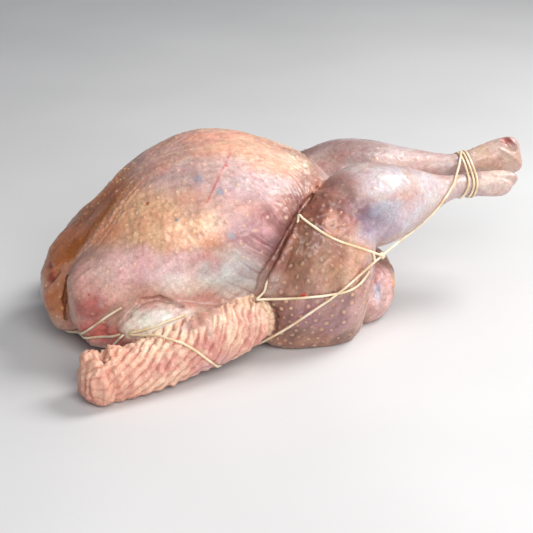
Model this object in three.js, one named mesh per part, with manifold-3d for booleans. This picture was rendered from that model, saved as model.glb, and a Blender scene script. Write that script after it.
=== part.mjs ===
// A whole raw turkey, dressed and trussed with butcher's twine. It lies on its back with the
// breast up, the neck end towards -X and the hocks towards +X. Millimetres, +Z up.
//
// The bird is built about its own middle plane, y = 0, with x = 0 under the highest point of
// the breast bone and z = 0 at the back it lies on. The whole is centred at the end of the file.

import * as THREE from 'three';
import { LoftGeometry } from 'three/addons/geometries/LoftGeometry.js';
import { mergeVertices } from 'three/addons/utils/BufferGeometryUtils.js';
import Module from 'manifold-3d';

const wasm = await Module();
wasm.setup();

// ---------------------------------------------------------------- driving dimensions

const NEAR = -1; // the side of the bird towards -Y
const FAR = 1;

const BACK_SINK = 5; // how far the round back is pressed flat where the bird lies on it
const FLOOR_REACH = 900; // size of the block that trims the bird flat

// The trunk, from neck to tail. At each x: the height of the breast bone, the half width, the
// height where the trunk is widest and the height of its underside.
const TRUNK = [
	{ x: - 165, top: 50, half: 19, waist: 38, bottom: 28 },
	{ x: - 163, top: 62, half: 38, waist: 40, bottom: 21 },
	{ x: - 154, top: 81, half: 56, waist: 47, bottom: 12 },
	{ x: - 134, top: 114, half: 73, waist: 59, bottom: 5 },
	{ x: - 104, top: 148, half: 86, waist: 73, bottom: 0 },
	{ x: - 70, top: 169, half: 93, waist: 80, bottom: 0 },
	{ x: - 36, top: 179, half: 97, waist: 84, bottom: 0 },
	{ x: 5, top: 173, half: 96, waist: 80, bottom: 0 },
	{ x: 52, top: 153, half: 80, waist: 71, bottom: 0 },
	{ x: 81, top: 127, half: 64, waist: 57, bottom: 0 },
	{ x: 104, top: 92, half: 48, waist: 44, bottom: 2 },
	{ x: 118, top: 63, half: 33, waist: 33, bottom: 7 },
	{ x: 123, top: 45, half: 16, waist: 31, bottom: 17 },
];
const TRUNK_SIDES = 32;
const TRUNK_RINGS = 24;
const BREAST_FULLNESS = 2.05; // superellipse power of the upper half, 2 is an ellipse
const BACK_FULLNESS = 2.9; // and of the lower half
const LIMB_FULLNESS = 2.2;

// The lobe of breast meat on each side of the bone, from its round front backwards. A limb
// station holds the place of its centre, [x, y, z], and two half sizes. Here and below, y is
// counted outwards from the middle plane.
const LOBE = [
	{ at: [ - 144, 44, 52 ], wide: 28, thick: 31 },
	{ at: [ - 126, 43, 62 ], wide: 40, thick: 37 },
	{ at: [ - 97, 40, 73 ], wide: 44, thick: 37 },
	{ at: [ - 70, 35, 75 ], wide: 38, thick: 30 },
];

const NECK_SKIN = [
	{ at: [ - 131, 10, 92 ], wide: 34, thick: 16 },
	{ at: [ - 154, 9, 62 ], wide: 39, thick: 27 },
	{ at: [ - 163, 5, 37 ], wide: 38, thick: 26 },
	{ at: [ - 153, 0, 16 ], wide: 37, thick: 17 },
];

const THIGH = [
	{ at: [ 38, 61, 17 ], wide: 54, thick: 33 },
	{ at: [ 42, 64, 44 ], wide: 53, thick: 40 },
	{ at: [ 54, 64, 80 ], wide: 48, thick: 38 },
	{ at: [ 70, 59, 104 ], wide: 39, thick: 34 },
	{ at: [ 82, 54, 115 ], wide: 31, thick: 30 },
];
const THIGH_FULLNESS = 2.7;

// The drumstick narrows to the tie and swells again at the hock: [share of its length, radius].
const DRUMSTICK = [
	[ 0, 33.1 ], [ 0.1, 37.4 ], [ 0.2, 37.4 ], [ 0.32, 32.2 ], [ 0.44, 24.8 ], [ 0.56, 17.4 ],
	[ 0.66, 12.6 ], [ 0.74, 10.4 ], [ 0.82, 10.4 ], [ 0.92, 11.7 ], [ 1, 11.3 ],
];
const TIE_SHARE = 0.76; // where the twine draws the two shanks together
const NEAR_LEG = { knee: [ 80, 54, 117 ], tie: [ 204, 12, 112 ], hock: [ 245, 16, 112 ], girth: 1 };
const FAR_LEG = { knee: [ 84, 50, 105 ], tie: [ 214, 11, 124 ], hock: [ 264, 15, 130 ], girth: 1.3 };

// The tail is a flap bent upwards, lying a little towards the near side.
const TAIL = [
	{ at: [ 97, - 9, 12 ], wide: 47, thick: 30 },
	{ at: [ 113, - 14, 26 ], wide: 46, thick: 27 },
	{ at: [ 120, - 17, 38 ], wide: 38, thick: 20 },
];

const DRUMETTE = [
	{ at: [ - 127, 71, 35 ], wide: 20, thick: 18 },
	{ at: [ - 102, 85, 42 ], wide: 24, thick: 21 },
	{ at: [ - 54, 89, 40 ], wide: 19, thick: 19 },
	{ at: [ - 23, 90, 38 ], wide: 18, thick: 17 },
];

// The forearm runs forwards from the elbow to the wrist, outside the drumette. Its skin is
// drawn up in ribs. On the far side it lies closer to the body.
const FOREARM = [
	{ at: [ - 19, 99, 37 ], wide: 21, thick: 18 },
	{ at: [ - 54, 106, 34 ], wide: 26, thick: 21 },
	{ at: [ - 87, 113, 27 ], wide: 23, thick: 21 },
	{ at: [ - 122, 123, 21 ], wide: 21, thick: 21 },
	{ at: [ - 157, 131, 19 ], wide: 21, thick: 21 },
];
const FAR_TUCK = [ 19, - 30, 0 ]; // how far the far wrist is moved from the mirrored place
const RIBS = 13;
const RIB_HEIGHT = 0.06; // as a share of the forearm's half size

// The two knuckles that stand up at the wrist, where the wing tip is folded under.
const KNUCKLES = [
	{ root: [ - 161, 130, 23 ], end: [ - 164, 124, 37 ], girth: 10 },
	{ root: [ - 148, 127, 23 ], end: [ - 144, 121, 37 ], girth: 10 },
];

// Twine, as its radius, the spacing of the points along it and its clearance from the skin.
const TWINE = 1.1;
const TWINE_STEP = 13;
const GAP = 0.3;

// Routes of the twine, as points it passes on or just off the skin, with y outwards.
const WRAPS = [
	{ under: 205, over: 214 },
	{ under: 211, over: 216 },
	{ under: 215, over: 218 },
];
const WRAP_POINTS = 12;
const KNOT = [ 100.5, 91.5, 86 ]; // in the crook of the knee
const KNOT_RADIUS = 2.7;
const STAY_HEAD = {
	near: [ [ 206, 5, 130 ], [ 198, 16, 124 ], [ 175, 41, 110 ] ],
	far: [ [ 197, 30, 120 ], [ 175, 41, 113 ] ],
};
const STAY = [
	[ 160, 40, 97.5 ], [ 139, 58, 91.5 ], [ 118, 76.5, 87.5 ], KNOT, [ 84, 99, 77.5 ], [ 59, 105, 62 ],
	[ 30, 105, 44 ], [ 12, 101, 30 ], [ - 3, 94, 19 ], [ - 11, 85, 9 ], [ - 17, 75, 2 ],
	[ - 19, 61, 1.2 ], [ - 19, 30, 1.2 ], [ - 19, 0, 1.2 ],
];
const THIGH_LOOP = [
	[ 87, 97, 74 ], [ 80, 101, 64 ], [ 71, 103, 61 ], [ 55, 105, 60 ], [ 30, 105, 60 ],
	[ 5, 98, 58 ], [ - 14, 103, 62 ], [ - 7, 98, 77 ], [ 7, 95, 95 ], [ 18, 87, 110 ],
	[ 26, 79, 122 ], [ 32, 85, 117 ], [ 47, 95, 110 ], [ 63, 97, 104 ], [ 84, 96, 95 ], KNOT,
];
const NECK_STRAND = [ [ - 171, 0, 9 ], [ - 171, 17, 12 ], [ - 162, 35, 18 ] ];
const SHOULDER_STRAND = [
	[ - 162, 35, 18 ], [ - 151, 68, 42 ], [ - 138, 77, 52 ], [ - 128, 79, 57 ],
];
const WING_CROSSING = [ - 126, 96, 40 ];
const OVER_SHOULDER = [ [ - 162, 35, 18 ], [ - 157, 44, 20 ], [ - 150, 58, 24 ], [ - 140, 74, 31 ] ];
const OVER_FOREARM = [
	[ - 106, 120, 47 ], [ - 92, 129, 45 ], [ - 80, 132, 39 ], [ - 68, 130, 28 ],
	[ - 57, 123, 16 ], [ - 50, 111, 8 ],
];
const UNDER_SHOULDER = [ [ - 136, 90, 33 ], [ - 137, 82, 26 ] ];
const UNDER_FOREARM = [ [ - 110, 107, 49 ], [ - 95, 110, 55 ], [ - 78, 104, 57 ] ];

// ---------------------------------------------------------------- solids

const WELD = 1e-4;

function solid( geometry ) {

	const bare = new THREE.BufferGeometry();
	bare.setAttribute( 'position', geometry.attributes.position );
	bare.setIndex( geometry.index );
	const merged = mergeVertices( bare, WELD );
	return new wasm.Manifold( new wasm.Mesh( {
		numProp: 3,
		vertProperties: Float32Array.from( merged.attributes.position.array ),
		triVerts: Uint32Array.from( merged.index.array ),
	} ) );

}

function geometryOf( body ) {

	const { vertProperties, triVerts } = body.getMesh();
	const geometry = new THREE.BufferGeometry();
	geometry.setAttribute( 'position', new THREE.BufferAttribute( vertProperties, 3 ) );
	geometry.setIndex( new THREE.BufferAttribute( triVerts, 1 ) );
	geometry.computeVertexNormals();
	return geometry;

}

function joined( bodies ) {

	return bodies.reduce( ( sum, body ) => sum.add( body ) );

}

function loft( sections ) {

	return solid( new LoftGeometry( sections, { capStart: true, capEnd: true } ) );

}

// ---------------------------------------------------------------- section helpers

// A curve through rows of numbers, read at any share of the way along them.
function tableCurve( rows ) {

	const points = rows.map( ( row ) => new THREE.Vector3( row[ 0 ], row[ 1 ] ?? 0, row[ 2 ] ?? 0 ) );
	return new THREE.CatmullRomCurve3( points, false, 'catmullrom', 0.5 );

}

function bulge( angleShare, power ) {

	return Math.sign( angleShare ) * Math.abs( angleShare ) ** ( 2 / power );

}

// Half sizes shrink over the last stretch at each end, so that a limb ends round.
const CAP_STEPS = 3;
const LIMB_DEFAULTS = { sides: 18, rings: 6, blunt: 0.75, power: LIMB_FULLNESS, relief: () => 1 };

// A limb with elliptical sections about a smooth centre line. `across` is the direction in
// which the first half size is measured. `relief` scales the section at a share of the length.
function limb( stations, options ) {

	const { across, sides, rings, blunt, power, relief } = { ...LIMB_DEFAULTS, ...options };

	const line = tableCurve( stations.map( ( station ) => station.at ) );
	const sizes = tableCurve( stations.map( ( station ) => [ station.wide, station.thick ] ) );
	const sections = [];

	function addSection( share, shift, scale ) {

		const along = line.getTangent( share );
		const side = across.clone().addScaledVector( along, - across.dot( along ) ).normalize();
		const up = along.clone().cross( side );
		const size = sizes.getPoint( share );
		const centre = line.getPoint( share ).addScaledVector( along, shift * size.y );
		const swell = scale * relief( share );
		sections.push( Array.from( { length: sides }, ( _, index ) => {

			const angle = index / sides * Math.PI * 2;
			return centre.clone()
				.addScaledVector( side, bulge( Math.cos( angle ), power ) * size.x * swell )
				.addScaledVector( up, bulge( Math.sin( angle ), power ) * size.y * swell );

		} ) );

	}

	for ( let step = 1; step <= CAP_STEPS; step ++ ) {

		const angle = step / ( CAP_STEPS + 1 ) * Math.PI / 2;
		addSection( 0, - blunt * Math.cos( angle ), Math.sin( angle ) );

	}

	for ( let ring = 0; ring <= rings; ring ++ ) addSection( ring / rings, 0, 1 );

	for ( let step = CAP_STEPS; step >= 1; step -- ) {

		const angle = step / ( CAP_STEPS + 1 ) * Math.PI / 2;
		addSection( 1, blunt * Math.cos( angle ), Math.sin( angle ) );

	}

	return loft( sections );

}

// The same stations on one side of the bird.
function onSide( side, stations ) {

	return stations.map( ( { at: [ x, y, z ], wide, thick } ) => (
		{ at: [ x, side * y, z ], wide, thick }
	) );

}

const UPWARDS = new THREE.Vector3( 0, 0, 1 );
const FORWARDS = new THREE.Vector3( 1, 0, 0 );
const SIDEWAYS = new THREE.Vector3( 0, 1, 0 );

// ---------------------------------------------------------------- the bird

function trunk() {

	const heights = tableCurve( TRUNK.map( ( { x, top, bottom } ) => [ x, top, bottom ] ) );
	const widths = tableCurve( TRUNK.map( ( { half, waist } ) => [ half, waist ] ) );
	const sections = [];
	for ( let ring = 0; ring <= TRUNK_RINGS; ring ++ ) {

		const share = ring / TRUNK_RINGS;
		const { x, y: top, z: bottom } = heights.getPoint( share );
		const { x: half, y: waist } = widths.getPoint( share );
		sections.push( Array.from( { length: TRUNK_SIDES }, ( _, index ) => {

			const angle = index / TRUNK_SIDES * Math.PI * 2;
			const upper = Math.sin( angle ) >= 0;
			const power = upper ? BREAST_FULLNESS : BACK_FULLNESS;
			const rise = upper ? top - waist : waist - bottom + BACK_SINK;
			const y = half * bulge( Math.cos( angle ), power );
			const z = waist + rise * bulge( Math.sin( angle ), power );
			return new THREE.Vector3( x, y, z );

		} ) );

	}

	return loft( sections );

}

function drumstick( side, joints ) {

	const [ knee, tie, hock ] = [ joints.knee, joints.tie, joints.hock ].map( ( [ x, y, z ] ) => (
		new THREE.Vector3( x, side * y, z )
	) );
	const stations = DRUMSTICK.map( ( [ share, radius ] ) => {

		const centre = share < TIE_SHARE
			? knee.clone().lerp( tie, share / TIE_SHARE )
			: tie.clone().lerp( hock, ( share - TIE_SHARE ) / ( 1 - TIE_SHARE ) );
		const beyondTie = THREE.MathUtils.smoothstep( share, 0.7, 1 );
		const swell = radius * THREE.MathUtils.lerp( 1, joints.girth, beyondTie );
		return { at: centre.toArray(), wide: swell, thick: swell };

	} );
	return limb( stations, { across: SIDEWAYS, rings: 14, blunt: 0.7 } );

}

function leg( side, joints ) {

	const lift = joints.knee[ 2 ] / NEAR_LEG.knee[ 2 ];
	const stations = onSide( side, THIGH ).map( ( { at: [ x, y, z ], wide, thick } ) => (
		{ at: [ x, y, z * lift ], wide, thick }
	) );
	const thigh = limb( stations, { across: FORWARDS, sides: 24, rings: 8, power: THIGH_FULLNESS } );
	return joined( [ thigh, drumstick( side, joints ) ] );

}

// A point of the wing on one side. The far wrist is tucked in, and the elbow stays.
function onWing( side, [ x, y, z ] ) {

	const [ elbow, wrist ] = [ FOREARM[ 0 ].at[ 0 ], FOREARM.at( - 1 ).at[ 0 ] ];
	const share = side === FAR ? ( elbow - x ) / ( elbow - wrist ) : 0;
	const [ tuckX, tuckY, tuckZ ] = FAR_TUCK;
	return [ x + tuckX * share, side * ( y + tuckY * share ), z + tuckZ * share ];

}

function wing( side ) {

	const placed = ( { at, wide, thick } ) => ( { at: onWing( side, at ), wide, thick } );
	const ribbed = ( share ) => 1 + RIB_HEIGHT * Math.cos( share * RIBS * Math.PI * 2 );
	const forearm = limb(
		FOREARM.map( placed ),
		{ across: UPWARDS, rings: RIBS * 2, blunt: 0.9, relief: ribbed },
	);
	const knuckles = KNUCKLES.map( ( { root, end, girth } ) => limb(
		[ root, end ].map( ( at ) => placed( { at, wide: girth, thick: girth } ) ),
		{ across: FORWARDS, sides: 12, rings: 2 },
	) );
	return joined( [ limb( onSide( side, DRUMETTE ), { across: UPWARDS } ), forearm, ...knuckles ] );

}

function floorBlock() {

	const block = new THREE.BoxGeometry( FLOOR_REACH, FLOOR_REACH, FLOOR_REACH );
	block.translate( 0, 0, - FLOOR_REACH / 2 );
	return solid( block );

}

function bird() {

	return joined( [
		trunk(),
		limb( onSide( NEAR, LOBE ), { across: UPWARDS } ),
		limb( onSide( FAR, LOBE ), { across: UPWARDS } ),
		limb( NECK_SKIN, { across: SIDEWAYS } ),
		limb( TAIL, { across: SIDEWAYS, rings: 4 } ),
		leg( NEAR, NEAR_LEG ),
		leg( FAR, FAR_LEG ),
		wing( NEAR ),
		wing( FAR ),
	] ).subtract( floorBlock() );

}

// ---------------------------------------------------------------- the skin as a surface

function facesOf( body ) {

	const { vertProperties, triVerts } = body.getMesh();
	const corner = ( index ) => new THREE.Vector3().fromArray( vertProperties, triVerts[ index ] * 3 );
	return Array.from( { length: triVerts.length / 3 }, ( _, face ) => {

		const corners = [ 0, 1, 2 ].map( ( offset ) => corner( face * 3 + offset ) );
		const triangle = new THREE.Triangle( ...corners );
		const middle = triangle.getMidpoint( new THREE.Vector3() );
		return { triangle, middle, normal: triangle.getNormal( new THREE.Vector3() ) };

	} );

}

const FACE_REACH = 24; // faces further off than this play no part in what lies on the skin

function facesNear( faces, point ) {

	return faces.filter( ( { middle } ) => middle.distanceTo( point ) < FACE_REACH );

}

// The skin's nearest point, its normal, and how far the given point is above it.
function footOn( faces, point ) {

	let best = { distance: Infinity };
	for ( const { triangle, normal } of faces ) {

		const foot = triangle.closestPointToPoint( point, new THREE.Vector3() );
		const distance = foot.distanceTo( point );
		if ( distance < best.distance ) best = { distance, foot, normal };

	}

	const above = best.foot ? point.clone().sub( best.foot ).dot( best.normal ) : Infinity;
	return { ...best, above };

}

// ---------------------------------------------------------------- twine

const PRESSED_BELOW = 4; // lower down, the twine is pressed into the back
const PULLS = 14;
const PULL = 0.45;
const CLEARANCE = TWINE + 2 * GAP;

function cleared( point, faces ) {

	if ( point.z < PRESSED_BELOW ) return point;
	const { foot, normal, above } = footOn( faces, point );
	return above < CLEARANCE ? foot.clone().addScaledVector( normal, CLEARANCE ) : point;

}

// A strand through the given points, pulled straight and pushed out of the skin in turns until
// it lies on it. Its two ends are only pushed out.
function drawnTight( route, faces ) {

	const anchors = route.map( ( point ) => new THREE.Vector3( ...point ) );
	const curve = new THREE.CatmullRomCurve3( anchors, false, 'centripetal' );
	let points = curve.getSpacedPoints( Math.round( curve.getLength() / TWINE_STEP ) );
	const around = points.map( ( point ) => facesNear( faces, point ) );
	for ( let pass = 0; pass < PULLS; pass ++ ) {

		points = points.map( ( point, index ) => {

			if ( index === 0 || index === points.length - 1 ) return cleared( point, around[ index ] );
			const middle = points[ index - 1 ].clone().add( points[ index + 1 ] ).multiplyScalar( 0.5 );
			return cleared( point.clone().lerp( middle, PULL ), around[ index ] );

		} );

	}

	return points;

}

const TWINE_SIDES = 5;

function strand( points, radius ) {

	const section = new THREE.Shape( Array.from( { length: TWINE_SIDES }, ( _, index ) => {

		const angle = index / TWINE_SIDES * Math.PI * 2;
		return new THREE.Vector2( Math.cos( angle ) * radius, Math.sin( angle ) * radius );

	} ) );
	const extrudePath = new THREE.CatmullRomCurve3( points, false, 'centripetal' );
	return solid( new THREE.ExtrudeGeometry( section, { steps: points.length - 1, extrudePath } ) );

}

// A closed loop is two strands whose ends run into each other.
function ring( points, radius ) {

	const half = Math.floor( points.length / 2 );
	return joined( [
		strand( points.slice( 0, half + 2 ), radius ),
		strand( [ ...points.slice( half ), points[ 0 ], points[ 1 ] ], radius ),
	] );

}

function mirrored( side, points ) {

	return points.map( ( [ x, y, z ] ) => [ x, side * y, z ] );

}

// Where the middle of a shank is at one x.
function shankAt( side, { tie, hock }, x ) {

	const share = ( x - tie[ 0 ] ) / ( hock[ 0 ] - tie[ 0 ] );
	const lerp = THREE.MathUtils.lerp;
	return { y: side * lerp( tie[ 1 ], hock[ 1 ], share ), z: lerp( tie[ 2 ], hock[ 2 ], share ) };

}

const SHANK_RADIUS = 11.5;

// A turn of twine passes over whichever shank stands out more in the direction of the angle.
function wrapPoint( { under, over }, angle, faces ) {

	const [ outY, outZ ] = [ Math.cos( angle ), Math.sin( angle ) ];
	const x = THREE.MathUtils.lerp( under, over, ( 1 + outZ ) / 2 );
	const reach = ( { y, z } ) => y * outY + z * outZ;
	const [ near, far ] = [ shankAt( NEAR, NEAR_LEG, x ), shankAt( FAR, FAR_LEG, x ) ];
	const { y, z } = reach( near ) > reach( far ) ? near : far;
	const out = SHANK_RADIUS + CLEARANCE;
	const point = new THREE.Vector3( x, y + out * outY, z + out * outZ );
	return cleared( point, facesNear( faces, point ) );

}

function wrap( place, faces ) {

	return Array.from( { length: WRAP_POINTS }, ( _, index ) => (
		wrapPoint( place, index / WRAP_POINTS * Math.PI * 2, faces )
	) );

}

function stay( side, faces ) {

	const start = side === NEAR
		? wrapPoint( WRAPS[ 0 ], Math.PI / 2, faces )
		: wrapPoint( WRAPS[ 2 ], 0, faces );
	const head = side === NEAR ? STAY_HEAD.near : STAY_HEAD.far;
	return drawnTight( [ start.toArray(), ...mirrored( side, [ ...head, ...STAY ] ) ], faces );

}

function thighLoop( side, faces ) {

	return drawnTight( mirrored( side, THIGH_LOOP ), faces );

}

function wingRoutes( side, faces ) {

	const crossing = onWing( side, WING_CROSSING );
	const placed = ( points ) => points.map( ( point ) => onWing( side, point ) );
	return [
		mirrored( side, SHOULDER_STRAND ),
		[ ...mirrored( side, OVER_SHOULDER ), crossing ],
		[ crossing, ...placed( OVER_FOREARM ) ],
		[ crossing, ...placed( UNDER_SHOULDER ) ],
		[ crossing, ...placed( UNDER_FOREARM ) ],
	].map( ( route ) => drawnTight( route, faces ) );

}

function knot( side, faces ) {

	const [ place ] = mirrored( side, [ KNOT ] );
	const point = new THREE.Vector3( ...place );
	const { x, y, z } = cleared( point, facesNear( faces, point ) );
	return solid( new THREE.IcosahedronGeometry( KNOT_RADIUS, 1 ).translate( x, y, z ) );

}

// All the twine that crosses the legs and thighs, at a given radius.
function legTwine( faces, radius ) {

	const turns = WRAPS.map( ( place ) => ring( wrap( place, faces ), radius ) );
	const sides = [ NEAR, FAR ].flatMap( ( side ) => [
		strand( stay( side, faces ), radius ),
		strand( thighLoop( side, faces ), radius ),
		knot( side, faces ),
	] );
	return joined( [ ...turns, ...sides ] );

}

function wingTwine( faces, radius ) {

	const neckRoute = [ ...mirrored( NEAR, NECK_STRAND ).reverse(), ...NECK_STRAND.slice( 1 ) ];
	const routes = [
		drawnTight( neckRoute, faces ),
		...wingRoutes( NEAR, faces ),
		...wingRoutes( FAR, faces ),
	];
	return joined( routes.map( ( points ) => strand( points, radius ) ) );

}

// ---------------------------------------------------------------- the finished object

function finish( color, roughness ) {

	return new THREE.MeshStandardMaterial( { color, roughness, metalness: 0 } );

}

const group = new THREE.Group();

function show( name, body, look ) {

	const mesh = new THREE.Mesh( geometryOf( body ), look );
	mesh.name = name;
	group.add( mesh );

}

const skin = bird();
const faces = facesOf( skin );
const grooves = joined( [ legTwine( faces, TWINE + GAP ), wingTwine( faces, TWINE + GAP ) ] );
const skinFinish = finish( 0xd8a590, 0.4 );
const twineFinish = finish( 0xe6d5b4, 0.85 );

show( 'turkey', skin.subtract( grooves ), skinFinish );
show( 'twine_legs', legTwine( faces, TWINE ), twineFinish );
show( 'twine_wings', wingTwine( faces, TWINE ), twineFinish );

const extent = new THREE.Box3().setFromObject( group );
const centre = extent.getCenter( new THREE.Vector3() );
for ( const { geometry } of group.children ) {

	geometry.translate( - centre.x, - centre.y, - extent.min.z );

}

export default group;
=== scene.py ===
"""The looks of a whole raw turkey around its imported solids, in metres, +Z up.

Points are given in the bird's own coordinates, as in its source: y = 0 is its middle plane, and
x = 0 lies under the highest point of the breast bone. ORIGIN is where that point is in the frame.
"""

import itertools
import math

import bpy
import numpy as np
import openvdb
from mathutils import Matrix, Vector
from mathutils.bvhtree import BVHTree
from mathutils.kdtree import KDTree


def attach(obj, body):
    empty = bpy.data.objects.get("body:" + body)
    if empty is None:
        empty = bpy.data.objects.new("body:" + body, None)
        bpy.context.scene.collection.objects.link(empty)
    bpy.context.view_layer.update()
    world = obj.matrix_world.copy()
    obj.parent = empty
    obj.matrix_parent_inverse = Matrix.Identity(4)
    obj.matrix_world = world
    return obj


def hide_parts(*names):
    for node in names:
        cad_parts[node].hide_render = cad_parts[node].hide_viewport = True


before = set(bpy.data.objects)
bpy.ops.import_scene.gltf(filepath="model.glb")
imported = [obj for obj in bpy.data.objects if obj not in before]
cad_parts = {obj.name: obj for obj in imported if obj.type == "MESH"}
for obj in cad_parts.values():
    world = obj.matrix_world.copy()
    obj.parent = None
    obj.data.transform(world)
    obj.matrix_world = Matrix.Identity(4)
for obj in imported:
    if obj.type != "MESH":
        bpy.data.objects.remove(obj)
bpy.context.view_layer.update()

ORIGIN = np.array((-0.04282, 0.01475, 0.0))
NEAR, FAR = -1, 1


# ------------------------------------------------------------------ numbers over many points


def smooth(low, high, value):
    share = np.clip((value - low) / (high - low), 0.0, 1.0)
    return share * share * (3.0 - 2.0 * share)


def bell(away, width):
    """1 where away is 0, falling off to both sides."""
    return np.exp(-((away / width) ** 2))


def lattice(cells, seed):
    """A repeatable number from -1 to 1 for each point of a lattice."""
    x, y, z = (cells[:, axis].astype(np.int64).astype(np.uint32) for axis in range(3))
    mixed = x * np.uint32(0x8DA6B343) ^ y * np.uint32(0xD8163841) ^ z * np.uint32(0xCB1AB31F)
    mixed = mixed ^ np.uint32(seed * 7919 + 17)
    for shift in (16, 13, 16):
        mixed = (mixed ^ (mixed >> np.uint32(shift))) * np.uint32(0x85EBCA6B)
    return mixed.astype(float) / 2**31 - 1.0


def noise(points, scale, seed):
    """Smooth noise, mostly from -0.6 to 0.6, with features about as large as the scale."""
    places = points / scale
    base = np.floor(places)
    part = places - base
    eased = part * part * part * (part * (part * 6.0 - 15.0) + 10.0)
    total = np.zeros(len(points))
    for corner in itertools.product((0, 1), repeat=3):
        weight = np.prod(np.where(corner, eased, 1.0 - eased), axis=1)
        total += weight * lattice(base + corner, seed)
    return total


def line_noise(along, scale, seed):
    """Noise that changes along one number only, for wrinkles side by side."""
    places = np.zeros((len(along), 3))
    places[:, 0] = along
    return noise(places, scale, seed)


def along_path(points, path):
    """How far along a path each point is, its distance from it and the path's nearest point."""
    path = np.asarray(path, float)
    best = np.full(len(points), np.inf)
    place = np.zeros(len(points))
    foot = np.zeros_like(points)
    start = 0.0
    for first, second in zip(path, path[1:]):
        leg = second - first
        length = np.linalg.norm(leg)
        share = np.clip((points - first) @ leg / length**2, 0.0, 1.0)
        nearest_here = first + share[:, None] * leg
        distance = np.linalg.norm(points - nearest_here, axis=1)
        closer = distance < best
        best = np.where(closer, distance, best)
        place = np.where(closer, start + share * length, place)
        foot[closer] = nearest_here[closer]
        start += length
    return place, best, foot


def streaks(points, direction, scale, seed):
    """Noise drawn out along a direction."""
    direction = np.asarray(direction) / np.linalg.norm(direction)
    along = points @ direction
    return noise(points - 0.86 * along[:, None] * direction, scale, seed)


def spline(points, step):
    """Evenly spaced points on a smooth curve through the given ones."""
    points = np.asarray(points, float)
    padded = np.vstack([2 * points[0] - points[1], points, 2 * points[-1] - points[-2]])
    fine = []
    for index in range(1, len(padded) - 2):
        a, b, c, d = padded[index - 1 : index + 3]
        for t in np.linspace(0.0, 1.0, 12, endpoint=False):
            fine.append(
                b
                + 0.5 * t * (c - a)
                + t * t * (a - 2.5 * b + 2 * c - 0.5 * d)
                + t**3 * (1.5 * (b - c) + 0.5 * (d - a))
            )
    fine = np.array([*fine, points[-1]])
    lengths = np.concatenate([[0.0], np.cumsum(np.linalg.norm(np.diff(fine, axis=0), axis=1))])
    count = max(2, int(round(lengths[-1] / step)) + 1)
    wanted = np.linspace(0.0, lengths[-1], count)
    return np.stack([np.interp(wanted, lengths, fine[:, axis]) for axis in range(3)], axis=1)


def on_side(side, points):
    """Points whose y is counted outwards, on one side of the bird."""
    return np.asarray(points, float) * (1.0, side, 1.0)


# ------------------------------------------------------------------ landmarks

# Paths on the skin and within it. FOREARM has one for each side.
FOREARM = {
    NEAR: ((-0.010, -0.096, 0.040), (-0.054, -0.105, 0.033), (-0.087, -0.113, 0.027),
           (-0.122, -0.123, 0.021), (-0.160, -0.131, 0.020)),
    FAR: ((-0.010, 0.096, 0.040), (-0.050, 0.098, 0.033), (-0.079, 0.099, 0.027),
          (-0.108, 0.101, 0.021), (-0.141, 0.101, 0.020)),
}
WING_LENGTH = {NEAR: 0.1557, FAR: 0.1330}  # along the forearm
WING_SEAM = 0.75 * math.pi  # how far below its outer side the turn about a wing begins

# Alike on both sides, with y counted outwards.
ELBOW_RIM = ((-0.007, 0.092, 0.008), (-0.001, 0.094, 0.018), (0.003, 0.0935, 0.029),
             (0.003, 0.094, 0.039), (0.001, 0.094, 0.046), (-0.003, 0.095, 0.053),
             (-0.009, 0.096, 0.058), (-0.016, 0.097, 0.061))
UPPER_ARM = ((-0.127, 0.071, 0.035), (-0.096, 0.084, 0.040), (-0.054, 0.089, 0.040),
             (-0.023, 0.090, 0.038))
LEG_CREASE = ((0.085, 0.006, 0.123), (0.056, 0.044, 0.135), (0.039, 0.065, 0.131),
              (0.026, 0.077, 0.123), (0.018, 0.084, 0.114), (0.010, 0.090, 0.105),
              (0.004, 0.094, 0.097), (-0.002, 0.096, 0.089), (-0.008, 0.097, 0.080),
              (-0.013, 0.097, 0.063), (-0.019, 0.094, 0.042), (-0.024, 0.090, 0.020))
KEEL_FOLDS = ((-0.096, 0.016, 0.150), (-0.112, 0.019, 0.132), (-0.127, 0.022, 0.111),
              (-0.141, 0.024, 0.088))

# The tail leans to the near side, and only the near side has these edges and this fold.
TAIL_AXIS = ((0.097, -0.009, 0.012), (0.113, -0.014, 0.026), (0.120, -0.017, 0.038))
NECK_FOLD = ((-0.174, -0.017, 0.070), (-0.179, -0.016, 0.062), (-0.185, -0.010, 0.050),
             (-0.188, -0.004, 0.042))
LOBE_EDGE = ((-0.158, -0.020, 0.082), (-0.166, -0.025, 0.066), (-0.171, -0.028, 0.048),
             (-0.171, -0.029, 0.030))
PAD_EDGE = ((-0.128, -0.094, 0.042), (-0.124, -0.090, 0.054), (-0.111, -0.084, 0.064),
            (-0.097, -0.086, 0.066), (-0.080, -0.096, 0.061))


# ------------------------------------------------------------------ the form of the bird

VOXEL = 0.0010
BAND = 9  # half width of the distance field about the skin, in voxels
ADDED, CUT = 1, -1
SOFTENING = 1.9  # how far creases between the solids are rounded, in voxels


def arrays_of(obj):
    mesh = obj.data
    mesh.calc_loop_triangles()
    points = np.empty(len(mesh.vertices) * 3, np.float32)
    corners = np.empty(len(mesh.loop_triangles) * 3, np.int32)
    mesh.vertices.foreach_get("co", points)
    mesh.loop_triangles.foreach_get("vertices", corners)
    return points.reshape(-1, 3), corners.reshape(-1, 3)


def distance_field(obj):
    """The distance from the skin over a grid, and the grid's lowest cell."""
    points, corners = arrays_of(obj)
    grid = openvdb.FloatGrid.createLevelSetFromPolygons(
        points,
        triangles=corners.astype(np.uint32),
        transform=openvdb.createLinearTransform(VOXEL),
        halfWidth=BAND,
    )
    low = np.floor(points.min(0) / VOXEL).astype(int) - BAND
    size = np.ceil(points.max(0) / VOXEL).astype(int) + BAND + 1 - low
    field = np.empty(size, np.float32)
    grid.copyToArray(field, ijk=tuple(int(number) for number in low))
    return field, low


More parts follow.
